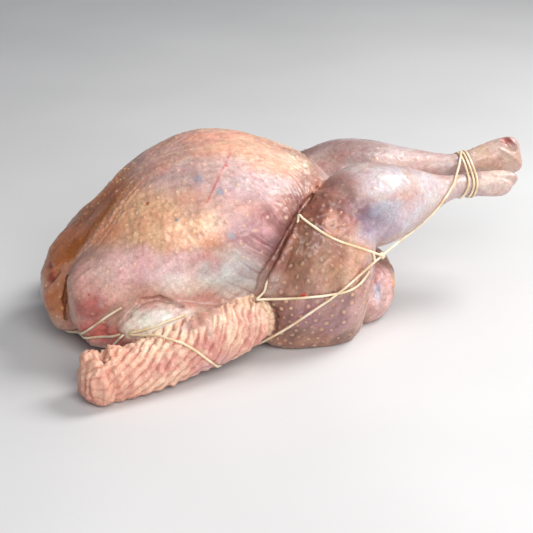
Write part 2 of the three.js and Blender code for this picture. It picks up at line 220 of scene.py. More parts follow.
def blurred(field, width):
    reach = int(math.ceil(2.5 * width))
    weights = np.exp(-0.5 * (np.arange(-reach, reach + 1) / width) ** 2)
    weights /= weights.sum()
    for axis in range(3):
        size = field.shape[axis]
        padding = [(reach, reach) if index == axis else (0, 0) for index in range(3)]
        padded = np.pad(field, padding, mode="edge")
        field = sum(
            np.float32(weight) * np.take(padded, np.arange(start, start + size), axis=axis)
            for start, weight in enumerate(weights)
        )
    return field


def window(field, low, ends, reach):
    """The part of the grid within reach of some points, and the places of its cells."""
    ends = np.asarray(ends) + ORIGIN
    first = np.maximum(np.floor((ends.min(0) - reach) / VOXEL).astype(int) - low, 0)
    last = np.minimum(np.ceil((ends.max(0) + reach) / VOXEL).astype(int) - low, field.shape)
    part = tuple(slice(int(a), int(b)) for a, b in zip(first, last))
    axes = [np.arange(a, b) + shift for a, b, shift in zip(first, last, low)]
    cells = np.stack(np.meshgrid(*axes, indexing="ij"), axis=-1)
    return part, cells * VOXEL - ORIGIN


def melt(first, second, width):
    """The smaller of two distances, with the join rounded."""
    share = np.clip(0.5 + 0.5 * (second - first) / width, 0.0, 1.0)
    return second + (first - second) * share - width * share * (1.0 - share)


def capsule(cells, start, end, radii):
    start, end = np.asarray(start), np.asarray(end)
    leg = end - start
    share = np.clip((cells - start) @ leg / (leg @ leg), 0.0, 1.0)
    distance = np.linalg.norm(cells - start - share[..., None] * leg, axis=-1)
    return distance - (radii[0] + (radii[1] - radii[0]) * share)


def shape_along(field, low, path, radii, width, sign=ADDED):
    """Adds a round lump along a path to the form, or cuts a round hollow out of it."""
    for start, end, *both in zip(path, path[1:], radii, radii[1:]):
        part, cells = window(field, low, (start, end), max(both) + 2 * width)
        field[part] = sign * melt(sign * field[part], capsule(cells, start, end, both), width)


# Lumps that stand out of the solids: path, the radius at each point, and the join's width.
LUMPS = (
    (((0.252, 0.012, 0.130), (0.262, 0.010, 0.139)), (0.0095, 0.0075), 0.006),
    (((0.255, 0.013, 0.122), (0.268, 0.012, 0.119)), (0.0105, 0.0085), 0.006),
    (((0.240, -0.018, 0.113), (0.251, -0.020, 0.117)), (0.0085, 0.0060), 0.005),
    (((0.240, -0.014, 0.110), (0.249, -0.013, 0.108)), (0.0075, 0.0058), 0.005),
    (((-0.174, -0.014, 0.044), (-0.172, -0.018, 0.026)), (0.0150, 0.0110), 0.006),
    (((-0.146, -0.044, 0.066), (-0.145, -0.044, 0.043)), (0.0240, 0.0240), 0.005),
    (((-0.112, -0.040, 0.080), (-0.126, -0.038, 0.066)), (0.0250, 0.0260), 0.016),
    (((-0.122, -0.002, 0.082), (-0.140, 0.000, 0.062)), (0.0290, 0.0300), 0.016),
    (((-0.124, 0.030, 0.082), (-0.140, 0.030, 0.062)), (0.0270, 0.0290), 0.016),
    (((-0.147, -0.052, 0.021), (-0.128, -0.074, 0.022)), (0.0100, 0.0080), 0.006),
    (((-0.119, -0.087, 0.042), (-0.096, -0.094, 0.046)), (0.0145, 0.0155), 0.006),
)

# Hollows cut into the skin, in the same way.
HOLLOWS = (
    (((0.256, 0.012, 0.146), (0.263, 0.002, 0.138)), (0.0022, 0.0030), 0.003),
    (((0.244, -0.027, 0.121), (0.256, -0.026, 0.114)), (0.0016, 0.0026), 0.003),
    (((-0.184, -0.012, 0.057), (-0.176, -0.014, 0.069)), (0.0034, 0.0018), 0.002),
    (((-0.183, 0.002, 0.069), (-0.177, -0.009, 0.072)), (0.0024, 0.0014), 0.002),
    (LOBE_EDGE, (0.0010, 0.0016, 0.0018, 0.0014), 0.003),
    (((-0.153, -0.112, 0.046), (-0.1555, -0.138, 0.036)), (0.0028, 0.0016), 0.003),
    (PAD_EDGE[:3], (0.0020, 0.0022, 0.0026), 0.002),
    (PAD_EDGE[2:], (0.0028, 0.0028, 0.0018), 0.002),
    (((0.0061, -0.1088, 0.0315), (-0.0181, -0.1125, 0.0094)), (0.0120, 0.0120), 0.004),
)

# The crease in front of the thigh is cut deeper than its path, and wider low down.
CREASE_DEPTH, CREASE_JOIN = 0.0016, 0.003
CREASE_HEIGHTS, CREASE_RADII = (0.085, 0.130), (0.0034, 0.0012)
RIM_RADIUS, RIM_JOIN = 0.0022, 0.002
THIGH_EDGE, EDGE_RADIUS, EDGE_JOIN = (0.0085, -0.0050), 0.0066, 0.005  # back and outwards


def shape_side(field, low, side):
    """The thigh's rounded front edge, the groove at the elbow's rim and the crease."""
    edge = on_side(side, LEG_CREASE[5:9]) + (THIGH_EDGE[0], side * THIGH_EDGE[1], 0.0)
    shape_along(field, low, edge, [EDGE_RADIUS] * len(edge), EDGE_JOIN)
    rim = on_side(side, ELBOW_RIM)
    shape_along(field, low, rim, [RIM_RADIUS] * len(rim), RIM_JOIN, CUT)
    crease = on_side(side, LEG_CREASE[1:]) - (0.0, side * CREASE_DEPTH, 0.0)
    radii = np.interp(crease[:, 2], CREASE_HEIGHTS, CREASE_RADII)
    shape_along(field, low, crease, radii, CREASE_JOIN, CUT)


def bird_mesh(node):
    field, low = distance_field(node)
    field = blurred(field, SOFTENING)
    for lump in LUMPS:
        shape_along(field, low, *lump)
    for hollow in HOLLOWS:
        shape_along(field, low, *hollow, CUT)
    for side in (NEAR, FAR):
        shape_side(field, low, side)
    grid = openvdb.FloatGrid()
    grid.transform = openvdb.createLinearTransform(VOXEL)
    grid.background = BAND * VOXEL
    grid.copyFromArray(field, ijk=tuple(int(number) for number in low))
    points, _, quads = grid.convertToPolygons(0.0, 0.0)
    return points.astype(float), quads


def new_object(name, points, faces):
    mesh = bpy.data.meshes.new(name)
    mesh.from_pydata(np.asarray(points).tolist(), [], [list(map(int, face)) for face in faces])
    mesh.validate()
    for polygon in mesh.polygons:
        polygon.use_smooth = True
    obj = bpy.data.objects.new(name, mesh)
    bpy.context.scene.collection.objects.link(obj)
    return obj


def normals_of(mesh):
    normals = np.empty(len(mesh.vertices) * 3, np.float32)
    mesh.vertex_normals.foreach_get("vector", normals)
    return normals.reshape(-1, 3).astype(float)


def move_to(mesh, points):
    mesh.vertices.foreach_set("co", np.asarray(points, np.float32).ravel())
    mesh.update()


# ------------------------------------------------------------------ parts of the skin


def x_at(heights, path):
    """Where a path that rises all the way is, at the given heights."""
    path = np.asarray(path)
    return np.interp(heights, path[:, 2], path[:, 0])


class Places:
    """What the relief and the colours need to know of each point of the skin.

    The wing, leg, thigh, tail and breast are shares, 1 on that part and 0 off it.
    """

    def __init__(self, points):
        self.points = points
        self.outward = points.copy()
        self.outward[:, 1] = np.abs(points[:, 1])
        self.crease_along, self.crease_off, _ = along_path(self.outward, LEG_CREASE)
        self.past_rim = points[:, 0] - x_at(points[:, 2], ELBOW_RIM)
        self.measure_forearm()
        self.wing = self.share_of_wing()
        self.leg = self.share_of_leg()
        self.tail = self.share_of_tail()
        behind = smooth(-0.006, 0.004, points[:, 0] - x_at(points[:, 2], LEG_CREASE[:1:-1]))
        self.thigh = behind * (1.0 - self.leg) * (1.0 - self.wing)
        self.breast = (1.0 - behind) * (1.0 - self.wing)

    def measure_forearm(self):
        """How far along and off the forearm's path a point is, and its turn about the path."""
        on_near = self.points[:, 1] < 0
        near, far = (along_path(self.points, FOREARM[side]) for side in (NEAR, FAR))
        self.wing_along = np.where(on_near, near[0], far[0])
        self.wing_off = np.where(on_near, near[1], far[1])
        self.from_wrist = np.where(on_near, WING_LENGTH[NEAR], WING_LENGTH[FAR]) - self.wing_along
        from_path = self.points - np.where(on_near[:, None], near[2], far[2])
        turn = np.arctan2(from_path[:, 2], np.where(on_near, NEAR, FAR) * from_path[:, 1])
        self.wing_turn = (turn + WING_SEAM) % (2 * math.pi) - WING_SEAM

    def share_of_wing(self):
        """The wing's skin has a ragged edge, and ends at the upper arm and at the elbow's rim."""
        ragged = 0.0025 * noise(self.points, 0.009, 5)
        upper_arm_off = along_path(self.outward, UPPER_ARM)[1]
        share = 1.0 - smooth(0.0245, 0.0265, self.wing_off + ragged)
        share *= 1.0 - smooth(0.0, 0.003, self.wing_off - upper_arm_off)
        return share * (1.0 - smooth(-0.0006, 0.0010, self.past_rim))

    def share_of_leg(self):
        x, z = self.points[:, 0], self.points[:, 2]
        return smooth(0.062, 0.080, x + 0.3 * (z - 0.115)) * smooth(0.070, 0.090, z)

    def share_of_tail(self):
        x, z = self.points[:, 0], self.points[:, 2]
        share = smooth(0.096, 0.104, x) * (1.0 - smooth(0.058, 0.066, z))
        return share * (1.0 - smooth(0.046, 0.054, along_path(self.points, TAIL_AXIS)[1]))


PATCH_CORE, PATCH_EDGE = 0.45, 1.25  # where a patch starts to fade and where it ends, in radii
RAGGED, RAGGED_SIZE = 0.3, 0.6


def spot(points, centre, radii, seed):
    """1 in the middle of a ragged patch, fading to 0 outside it."""
    away = np.linalg.norm((points - centre) / radii, axis=1)
    close = away < PATCH_EDGE + RAGGED
    away[close] += RAGGED * noise(points[close], RAGGED_SIZE * float(np.mean(radii)), seed)
    return 1.0 - smooth(PATCH_CORE, PATCH_EDGE, away)


# ------------------------------------------------------------------ relief

SPARSE, CLOSE = 0.0122, 0.0074  # how far apart follicles are
FOLLICLE_REACH = 0.0017
CANDIDATES = 60000
BUCKET = 0.014  # side of the cubes in which a follicle's neighbours are looked up
ROWS = (-0.0062, -0.0005, 0.0070)  # off the folds beside the breast bone
ROW_STEP, ROW_RAGGED = 0.0056, 0.0016


def rough_part(places):
    """1 where the skin of the breast is bumpy and yellow, beside the breast bone."""
    outward = places.outward
    middle = spot(outward, (-0.090, 0.064, 0.124), (0.048, 0.036, 0.026), 3)
    keel = spot(outward, (-0.118, 0.024, 0.124), (0.034, 0.018, 0.050), 4)
    return np.maximum(middle, keel)


def follicles(places):
    """Where feathers were plucked: evenly scattered points, and rows beside the breast bone."""
    points = places.points
    random = np.random.default_rng(11)
    closeness = np.maximum(rough_part(places), places.thigh)
    spacing = SPARSE + (CLOSE - SPARSE) * closeness
    spacing *= 1.0 + 0.30 * noise(points, 0.030, 8)
    taken, chosen = {}, []
    for index in random.permutation(len(points))[:CANDIDATES]:
        point, reach = points[index], spacing[index]
        home = tuple((point // BUCKET).astype(int))
        around = itertools.product(*((axis - 1, axis, axis + 1) for axis in home))
        others = [other for key in around for other in taken.get(key, ())]
        if all(np.sum((points[other] - point) ** 2) >= reach * reach for other in others):
            taken.setdefault(home, []).append(index)
            chosen.append(index)
    return np.array([*chosen, *nearest(rows_of_bumps(), points)[0]])


def rows_of_bumps():
    """Places along the folds beside the breast bone, on both sides."""
    random = np.random.default_rng(13)
    middle = spline(KEEL_FOLDS, ROW_STEP)
    places = []
    for side in (NEAR, FAR):
        for row in ROWS:
            line = on_side(side, middle) + (0.0, side * row, 0.0)
            places.append(line + random.uniform(-ROW_RAGGED, ROW_RAGGED, line.shape))
    return np.vstack(places)


def nearest(points, centres):
    """The number of the centre that is nearest to each point, and how far away it is."""
    tree = KDTree(len(centres))
    for index, centre in enumerate(centres):
        tree.insert(centre, index)
    tree.balance()
    found = [tree.find(point) for point in points]
    return np.array([hit[1] for hit in found]), np.array([hit[2] for hit in found])


def follicle_bumps(places, chosen):
    """Height from 0 to 1 of the bump at each follicle, the rim about it and how yellow it is."""
    which, away = nearest(places.points, places.points[chosen])
    random = np.random.default_rng(12)
    size = random.uniform(0.65, 1.15, len(chosen))[which]
    height = 0.25 + 0.75 * random.random(len(chosen))[which] ** 1.5
    on_thigh = places.thigh * random.uniform(0.5, 1.0, len(chosen))[which]
    height = np.maximum(height, 0.75 * on_thigh)
    yellow = random.uniform(0.2, 1.0, len(chosen))[which]
    reach = FOLLICLE_REACH * size * (1.0 + 0.25 * places.thigh)
    clear = smooth(0.004, 0.008, places.crease_off)
    shape = np.clip(1.0 - (away / reach) ** 2, 0.0, 1.0)
    rim = bell(away / reach - 1.25, 0.35)
    return height * shape * clear, height * rim * clear, yellow


RIB_SPACING = 0.0115  # along the wing
WING_RADIUS = 0.020
RIB_HEIGHT, RIB_MIDDLE = 0.0036, 0.62


def wing_ribs(places):
    """Slanting ribs of the forearm, from 0 in the grooves to 1 on the crests."""
    points, along = places.points, places.wing_along
    towards_wrist = smooth(0.020, 0.090, along)
    slant = 0.45 + 1.05 * towards_wrist
    place = along + slant * WING_RADIUS * places.wing_turn
    place += 0.0036 * noise(points, 0.020, 21) + 0.0013 * noise(points, 0.006, 22)
    turn = place / (RIB_SPACING + 0.0015 * towards_wrist)
    broad = np.abs(np.sin(math.pi * turn)) ** 0.8
    fine = np.abs(np.sin(2 * math.pi * turn + 1.3 * noise(points, 0.012, 23))) ** 0.8
    share = 0.60 - 0.38 * towards_wrist
    return broad * (1.0 - share) + fine * share


def wing_smoothness(places):
    """1 where the wing has no ribs: low on its outer side, and about the elbow's tip."""
    low = smooth(-0.10, -0.65, places.wing_turn)
    low *= smooth(0.020, 0.040, places.wing_along) * smooth(0.085, 0.065, places.wing_along)
    tip = spot(places.points, (-0.010, -0.105, 0.046), (0.013, 0.012, 0.011), 24)
    return np.maximum(0.75 * low, 0.7 * tip)


def wing_relief(places):
    points = places.points
    ribs = RIB_HEIGHT * (wing_ribs(places) - RIB_MIDDLE) * (1.0 - wing_smoothness(places))
    wrist = smooth(0.028, 0.011, places.from_wrist)
    end = smooth(0.0060, 0.0020, places.from_wrist)
    folds = noise(points * (1.0, 1.0, 0.30), 0.0032, 25)
    grain = 0.0005 * noise(points, 0.0040, 54) + 0.0005 * noise(points, 0.0026, 26)
    at_rim = bell(places.past_rim + 0.004, 0.004)
    grain += 0.0010 * noise(points, 0.0042, 27) * at_rim
    return ribs * (1.0 - 0.50 * wrist - 0.45 * end) + 0.0018 * wrist * folds + grain


def crease_fan(places):
    """Wrinkles that run away from the crease in front of the thigh."""
    bend = 0.006 * noise(places.points, 0.030, 31)
    place = places.crease_along + bend + 0.25 * places.crease_off
    lines = line_noise(place, 0.0028, 32) + 0.6 * line_noise(place, 0.0015, 33)
    fade = 1.0 - smooth(0.008, 0.042, places.crease_off + 0.01 * noise(places.points, 0.02, 34))
    return lines * fade * places.breast


def thigh_wrinkles(places):
    """Short wrinkles across the rear edge of the thigh."""
    points, outward = places.points, places.outward
    place = points[:, 2] - 0.35 * points[:, 0] + 0.004 * noise(points, 0.018, 35)
    lines = line_noise(place, 0.0032, 36) * (0.6 + noise(points, 0.010, 37))
    return lines * spot(outward, (0.080, 0.096, 0.088), (0.020, 0.020, 0.026), 38) * places.thigh


def keel_folds(places):
    """Long folds beside the breast bone, towards the neck."""
    along, off, _ = along_path(places.outward, KEEL_FOLDS)
    lines = np.sin(off / 0.0058 * 2 * math.pi + 2.0 * noise(places.points, 0.03, 41))
    fade = 1.0 - smooth(0.010, 0.022, off)
    return lines * fade * smooth(0.0, 0.012, along) * smooth(0.0, 0.012, 0.078 - along)


# Lines drawn into the skin: their points, half width and height.
LINES = (
    (NECK_FOLD, 0.0022, -0.0028),
    (((-0.155, -0.060, 0.040), (-0.140, -0.073, 0.040), (-0.130, -0.086, 0.034)), 0.0018, -0.0016),
    (((-0.152, -0.052, 0.030), (-0.138, -0.066, 0.028), (-0.128, -0.078, 0.022)), 0.0018, -0.0016),
    (((-0.137, -0.072, 0.054), (-0.131, -0.086, 0.040), (-0.126, -0.092, 0.030)), 0.0020, -0.0020),
    (((0.113, -0.036, 0.050), (0.120, -0.048, 0.036), (0.122, -0.055, 0.020)), 0.0017, -0.0018),
    (((0.116, -0.030, 0.052), (0.128, -0.044, 0.040), (0.131, -0.050, 0.026)), 0.0015, -0.0016),
    (((0.108, -0.040, 0.048), (0.112, -0.052, 0.034), (0.112, -0.058, 0.020)), 0.0017, -0.0016),
    (((0.238, 0.006, 0.140), (0.247, 0.003, 0.140), (0.256, 0.000, 0.135), (0.264, 0.000, 0.129),
      (0.270, 0.004, 0.122)), 0.0015, 0.0014),
    (((0.226, -0.018, 0.122), (0.236, -0.023, 0.121), (0.246, -0.025, 0.118)), 0.0014, -0.0010),
    (((-0.150, -0.048, 0.017), (-0.138, -0.062, 0.015), (-0.130, -0.074, 0.013)), 0.0016, -0.0016),
    (((-0.156, -0.052, 0.047), (-0.147, -0.062, 0.047), (-0.138, -0.074, 0.046)), 0.0015, -0.0010),
    (((-0.143, -0.076, 0.058), (-0.139, -0.086, 0.048), (-0.134, -0.090, 0.038)), 0.0015, -0.0012),
    (((-0.020, -0.033, 0.172), (-0.029, -0.048, 0.167), (-0.040, -0.062, 0.157),
      (-0.051, -0.073, 0.144)), 0.0010, 0.0003),
)


def drawn_lines(points):
    height = np.zeros(len(points))
    for path, width, rise in LINES:
        height += rise * bell(along_path(points, path)[1], width)
    return height


# Heights of the relief.
WAVE, DIMPLE, PEBBLE, ROUGH_PEBBLE, FINE_GRAIN = 0.0008, 0.00022, 0.00016, 0.00040, 0.00014
STREAK, THIGH_STREAK, THIGH_WRINKLE = 0.00026, 0.00060, 0.00100
BUMP, MORE_ON_THIGH = 0.00085, 0.00030
CREASE_DIP, CREASE_DIP_WIDTH, FAN_WRINKLE, KEEL_FOLD = 0.0012, 0.0035, 0.00060, 0.00050

# The way the skin's grain runs.
ACROSS_BREAST = (0.65, 0.28, 0.28)
ALONG_FLANK = (0.70, 0.12, 0.55)
DOWN_THIGH = (0.35, 0.0, 1.0)


def skin_streaks(places):
    """The grain of the stretched skin, mostly from -0.6 to 0.6."""
    outward = places.outward
    high = smooth(0.090, 0.120, outward[:, 2])
    upper = streaks(outward, ACROSS_BREAST, 0.0030, 55)
    lower = streaks(outward, ALONG_FLANK, 0.0030, 56)
    return upper * high + lower * (1.0 - high)


def thigh_streaks(places):
    return streaks(places.points, DOWN_THIGH, 0.0045, 57) * places.thigh


def relief(places, bumps):
    """How far each point of the skin is moved out."""
    points = places.points
    plain = 1.0 - places.wing
    smoothness = 1.0 - 0.6 * places.leg
    rough = rough_part(places)
    height = WAVE * noise(points, 0.030, 51) + DIMPLE * noise(points, 0.010, 52) * smoothness
    height += (PEBBLE + ROUGH_PEBBLE * rough) * noise(points, 0.0034, 53) * smoothness
    height += STREAK * skin_streaks(places) * plain * smoothness
    height += THIGH_STREAK * thigh_streaks(places)
    height += FINE_GRAIN * noise(points, 0.0024, 58) * plain
    height += THIGH_WRINKLE * thigh_wrinkles(places)
    height += (BUMP + MORE_ON_THIGH * places.thigh) * bumps * plain * (1.0 - 0.7 * places.tail)
    height += places.wing * wing_relief(places)
    height -= CREASE_DIP * bell(places.crease_off, CREASE_DIP_WIDTH)
    height += FAN_WRINKLE * crease_fan(places)
    height += KEEL_FOLD * keel_folds(places)
    height += drawn_lines(points)
    off_floor = smooth(0.0, 0.006, points[:, 2])
    return height * off_floor


# ------------------------------------------------------------------ twine

SHANK = {NEAR: ((0.204, -0.012, 0.112), (0.250, -0.016, 0.113)),
         FAR: ((0.214, 0.011, 0.124), (0.270, 0.015, 0.131))}  # the tie and the hock
TWINE = 0.0011  # radius
LIE = 0.0008  # how far the middle of a strand is above the skin before it is pressed in
TWINE_STEP = 0.005
PULLS, PULL = 16, 0.45  # how often a strand is pulled straight, and how much each time
UNDER_BIRD = 0.004  # below this height a strand isn't pushed out of the skin

WRAPS = ((0.200, 0.213), (0.209, 0.216), (0.213, 0.219))  # x below and above the shanks
WRAP_POINTS = 28
SHANK_RADIUS = 0.0115
KNOT = (0.1005, 0.0915, 0.0860)
STAY_HEAD = {
    NEAR: ((0.206, 0.005, 0.130), (0.198, 0.016, 0.124), (0.175, 0.041, 0.110)),
    FAR: ((0.197, 0.030, 0.120), (0.175, 0.041, 0.113)),
}
STAY = (
    (0.160, 0.040, 0.0975), (0.139, 0.058, 0.0915), (0.118, 0.0765, 0.0875), KNOT,
    (0.084, 0.099, 0.0775), (0.059, 0.105, 0.062), (0.030, 0.105, 0.044),
    (0.012, 0.101, 0.030), (-0.003, 0.094, 0.019), (-0.011, 0.085, 0.009),
    (-0.017, 0.075, 0.002), (-0.019, 0.061, 0.0012), (-0.019, 0.030, 0.0012),
    (-0.019, 0.0, 0.0012),
)
BELOW_KNEE = (
    (0.088, 0.096, 0.074), (0.083, 0.099, 0.066), (0.074, 0.101, 0.060), (0.055, 0.105, 0.060),
    (0.030, 0.105, 0.060), (0.005, 0.098, 0.058), (-0.014, 0.097, 0.060),
)
IN_CREASE = (  # the last number is the height over the skin
    (-0.010, 0.096, 0.066, 0.0008), (-0.005, 0.095, 0.074, -0.0004), (0.002, 0.094, 0.086, -0.003),
    (0.010, 0.091, 0.098, -0.004), (0.019, 0.084, 0.112, -0.004), (0.026, 0.078, 0.122, -0.0015),
)
OVER_THIGH = (
    (0.029, 0.076, 0.1255), (0.034, 0.083, 0.120), (0.047, 0.094, 0.111), (0.065, 0.097, 0.103),
    (0.084, 0.096, 0.095), KNOT,
)
NECK_STRAND = ((-0.171, 0.0, 0.009), (-0.171, 0.017, 0.012), (-0.162, 0.035, 0.018))
SHOULDER_STRAND = (
    (-0.162, 0.035, 0.018), (-0.151, 0.068, 0.042), (-0.138, 0.077, 0.052), (-0.128, 0.079, 0.057),
)
WING_CROSSING = (-0.126, 0.096, 0.040)
OVER_SHOULDER = (
    (-0.162, 0.035, 0.018), (-0.157, 0.044, 0.020), (-0.150, 0.058, 0.024), (-0.140, 0.074, 0.031),
)
OVER_FOREARM = (
    (-0.106, 0.120, 0.047), (-0.092, 0.129, 0.045), (-0.080, 0.132, 0.039),
    (-0.068, 0.130, 0.028), (-0.057, 0.123, 0.016), (-0.050, 0.111, 0.008),
)
UNDER_SHOULDER = ((-0.136, 0.090, 0.033), (-0.137, 0.082, 0.026))
UNDER_FOREARM = ((-0.110, 0.107, 0.049), (-0.095, 0.110, 0.055), (-0.078, 0.104, 0.057))
FAR_TUCK = (0.019, -0.030, 0.0)
ELBOW_X, WRIST_X = -0.019, -0.157


def on_wing(side, point):
    """A point of the wing on one side. The far wrist is tucked in, and the elbow stays."""
    x, y, z = point
    share = (ELBOW_X - x) / (ELBOW_X - WRIST_X) if side == FAR else 0.0
    return (x + FAR_TUCK[0] * share, side * (y + FAR_TUCK[1] * share), z)


def cleared(point, skin, clearance):
    """The point, pushed out where it is less than the clearance over the skin."""
    if point[2] < UNDER_BIRD:
        return point
    foot, normal, _, _ = skin.find_nearest(Vector(point))
    above = (Vector(point) - foot).dot(normal)
    return np.array(foot + normal * clearance) if above < clearance else point


def drawn_tight(route, skin):
    """A strand through the given points, pulled straight and pushed out of the skin in turns."""
    return tightened(spline(route, TWINE_STEP), skin)


def tightened(points, skin):
    for _ in range(PULLS):
        middles = 0.5 * (points[:-2] + points[2:])
        points[1:-1] += PULL * (middles - points[1:-1])
        points = np.array([cleared(point, skin, LIE) for point in points])
    return points


def laid_at_heights(places, skin):
    """Points put at given heights over the skin, or under it where a fold hides the twine."""
    laid = []
    for *place, height in places:
        foot, normal, _, _ = skin.find_nearest(Vector(place))
        laid.append(foot + normal * height)
    return np.array(laid)


def thigh_loop(side, skin):
    below = drawn_tight(on_side(side, BELOW_KNEE), skin)
    hidden = [(x, side * y, z, height) for x, y, z, height in IN_CREASE]
    over = drawn_tight(on_side(side, OVER_THIGH), skin)
    return np.vstack([below, laid_at_heights(hidden, skin), over])


def shank_at(side, x):
    """The middle of a shank, between the tie and the hock."""
    tie, hock = SHANK[side]
    share = (x - tie[0]) / (hock[0] - tie[0])
    return np.array(tie) + share * (np.array(hock) - tie)


def wrap_point(turn, angle, skin):
    """A turn of twine passes over whichever shank stands out more at the angle."""
    out = np.array((0.0, math.cos(angle), math.sin(angle)))
    x = turn[0] + (turn[1] - turn[0]) * (1.0 + out[2]) / 2.0
    middle = max((shank_at(side, x) for side in (NEAR, FAR)), key=out.dot)
    middle[0] = x
    return cleared(middle + out * (SHANK_RADIUS + TWINE), skin, LIE)


def wrap(turn, skin):
    angles = np.arange(WRAP_POINTS + 2) / WRAP_POINTS * 2 * math.pi
    return tightened(np.array([wrap_point(turn, angle, skin) for angle in angles]), skin)


def hitch(centre, along, turns=1.6, radius=0.0021, advance=0.0019):
    """A turn or two of twine wound about another strand."""
    along = np.asarray(along) / np.linalg.norm(along)
    side = np.cross(along, (0.0, 0.0, 1.0))
    side /= np.linalg.norm(side)
    up = np.cross(side, along)
    angles = np.linspace(0.0, turns * 2 * math.pi, 22)
    return np.array([
        centre
        + radius * (math.cos(angle) * side + math.sin(angle) * up)
        + along * advance * (angle / (2 * math.pi) - turns / 2)
        for angle in angles
    ])


def leg_routes(skin):
    routes = [wrap(turn, skin) for turn in WRAPS]
    for side in (NEAR, FAR):
        turn, angle = (WRAPS[0], math.pi / 2) if side == NEAR else (WRAPS[2], 0.0)
        start = wrap_point(turn, angle, skin)
        head = on_side(side, (*STAY_HEAD[side], *STAY))
        stay = drawn_tight([start, *head], skin)
        loop = thigh_loop(side, skin)
        at = int(np.argmin(np.linalg.norm(stay - on_side(side, KNOT), axis=1)))
        fray = [loop[-3], 0.5 * (loop[-3] + stay[at + 2]), stay[at + 2]]
        routes += [stay, loop, fray, hitch(stay[at], stay[at + 1] - stay[at - 1])]
    return routes


def wing_routes(skin):
    neck = np.vstack([on_side(NEAR, NECK_STRAND)[::-1], np.asarray(NECK_STRAND)[1:]])
    routes = [neck]
    for side in (NEAR, FAR):
        crossing = on_wing(side, WING_CROSSING)
        routes.append(on_side(side, SHOULDER_STRAND))
        routes.append([*on_side(side, OVER_SHOULDER), crossing])
        for points in (OVER_FOREARM, UNDER_SHOULDER, UNDER_FOREARM):
            routes.append([crossing, *(on_wing(side, point) for point in points)])
    return [drawn_tight(route, skin) for route in routes]


DENT, DENT_WIDTH, DENT_STEP = 0.0011, 0.0019, 0.0012
SWELL, SWELL_AWAY, SWELL_WIDTH = 0.00035, 0.0046, 0.0017


def pressed_in(points, routes):
    """How far the skin is pushed in under the twine, and up beside it."""
    strands = np.vstack([spline(route, DENT_STEP) for route in routes])
    low, high = strands.min(0) - 0.01, strands.max(0) + 0.01
    inside = np.all((points > low) & (points < high), axis=1)
    away = np.full(len(points), 1.0)
    away[inside] = nearest(points[inside], strands)[1]
    return SWELL * bell(away - SWELL_AWAY, SWELL_WIDTH) - DENT * bell(away, DENT_WIDTH)


PLIES, AROUND, RING_STEP, LAY_LENGTH = 3, 12, 0.0008, 0.0085
PLY_VALLEY, PLY_RISE = 0.80, 0.24  # shares of the twine's radius
ABOVE_FLOOR = 0.0001
FUZZ, FUZZ_SIZE = 0.00007, 0.0011


def twine_ring(centre, ahead, side, twist):
    """Points around a strand, which stand out where its plies do."""
    up = np.cross(ahead, side)
    angles = np.arange(AROUND) / AROUND * 2 * math.pi
    lobes = PLY_VALLEY + PLY_RISE * np.abs(np.cos(PLIES / 2 * (angles - twist)))
    spokes = np.cos(angles)[:, None] * side + np.sin(angles)[:, None] * up
    return centre + TWINE * lobes[:, None] * spokes


def tube_faces(rings):
    """Faces between rings of points, closed by the two end points that follow them."""
    faces = []
    end = (rings - 1) * AROUND
    first, last = rings * AROUND, rings * AROUND + 1
    for corner in range(AROUND):
        after = (corner + 1) % AROUND
        for start in range(0, end, AROUND):
            a, b = start + corner, start + after
            faces.append((a, b, b + AROUND, a + AROUND))
        faces.append((first, after, corner))
        faces.append((last, end + corner, end + after))
    return faces


def twisted_strand(route, seed):
    """Points and faces of plied twine along a route, closed at both ends."""
    middle = spline(route, RING_STEP)
    heading = np.gradient(middle, axis=0)
    heading /= np.linalg.norm(heading, axis=1)[:, None]
    side = np.cross(heading[0], (0.3, 0.2, 1.0))
    rings = []
    for index, (centre, ahead) in enumerate(zip(middle, heading)):
        side = side - ahead * (side @ ahead)
        side /= np.linalg.norm(side)
        rings.append(twine_ring(centre, ahead, side, 2 * math.pi * index * RING_STEP / LAY_LENGTH))
    points = np.vstack([*rings, middle[:1], middle[-1:]])
    points[:-2] += FUZZ * noise(points[:-2], FUZZ_SIZE, seed)[:, None]
    return points, tube_faces(len(rings))


def twine_object(name, routes, seed):
    all_points, all_faces, count = [], [], 0
    for number, route in enumerate(routes):
        points, faces = twisted_strand(route, seed + number)
        all_points.append(points)
        all_faces += [tuple(corner + count for corner in face) for face in faces]
        count += len(points)
    points = np.vstack(all_points) + ORIGIN
    points[:, 2] = np.maximum(points[:, 2], ABOVE_FLOOR)
    return new_object(name, points, all_faces)


# ------------------------------------------------------------------ colours


def tone(code):
    """A linear colour from its usual six hexadecimal digits."""
    shares = [int(code[start : start + 2], 16) / 255 for start in (0, 2, 4)]
    return np.array([
        share / 12.92 if share <= 0.04045 else ((share + 0.055) / 1.055) ** 2.4 for share in shares
    ])


